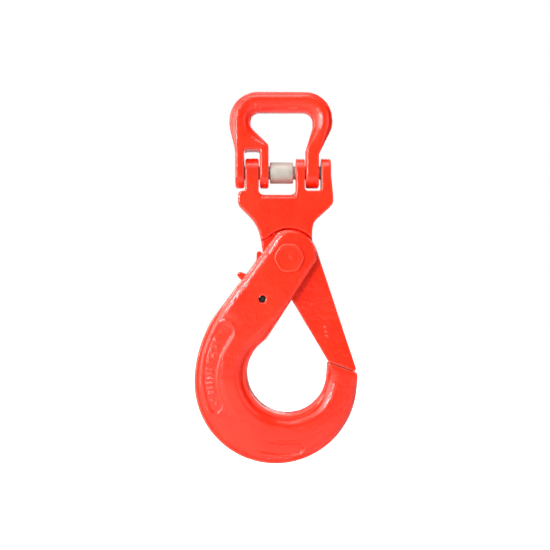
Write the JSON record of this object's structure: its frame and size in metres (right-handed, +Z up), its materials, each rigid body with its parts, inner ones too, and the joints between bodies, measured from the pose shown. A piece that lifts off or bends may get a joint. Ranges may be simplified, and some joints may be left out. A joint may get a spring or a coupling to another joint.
{
  "type": "self-locking sling hook",
  "caption": "Self-locking lifting hook: a flat-topped sling link hinges on a cross pin in a forked upper body whose long arm closes a riveted, trigger-locked hook.",
  "frame": {"origin": "the sling's seat: middle of the flat underside of the top link's bar", "axes": "+Z up, from the hook's bowl towards the top link; +X along the cross pin, towards the latch arm; +Y through the hook's thickness, away from the viewer of the front"},
  "size_m": [0.1026, 0.0316, 0.2343],
  "materials": {
    "red_enamel": "glossy enamel over a forged surface",
    "zinc_plated_steel": "dull plated, turned",
    "dark_steel": "oiled spring steel"
  },
  "bodies": {
    "top_link": {"top_link": "red_enamel"},
    "coupling_pin": {"coupling_pin": "zinc_plated_steel", "coupling_bush": "zinc_plated_steel", "bush_clip": "dark_steel"},
    "upper_body": {"upper_body": "red_enamel"},
    "hook": {"hook_body": "red_enamel", "pivot_rivet": "red_enamel", "trigger_pin": "dark_steel", "trigger_spring": "dark_steel"},
    "trigger": {"trigger": "red_enamel"}
  },
  "joints": [
    {"name": "pin_turn", "type": "hinge", "parent": "top_link", "child": "coupling_pin", "pos_m": [0, 0, -0.038], "axis": [1, 0, 0], "continuous": true},
    {"name": "coupling_swing", "type": "hinge", "parent": "top_link", "child": "upper_body", "pos_m": [0, 0, -0.038], "axis": [1, 0, 0], "range_deg": [-90, 90]},
    {"name": "hook_open", "type": "hinge", "parent": "upper_body", "child": "hook", "pos_m": [0.0047, 0, -0.092], "axis": [0, 1, 0], "range_deg": [0, 34]},
    {"name": "trigger_release", "type": "hinge", "parent": "hook", "child": "trigger", "pos_m": [-0.012, 0, -0.1176], "axis": [0, -1, 0], "range_deg": [0, 24], "stiffness_Nm_per_rad": 0.02, "springref_deg": -28.65, "deforming": ["trigger_spring"]}
  ],
  "couplings": [
    {"joint": "trigger_release", "follows": "hook_open", "ratio": 0.7}
  ]
}
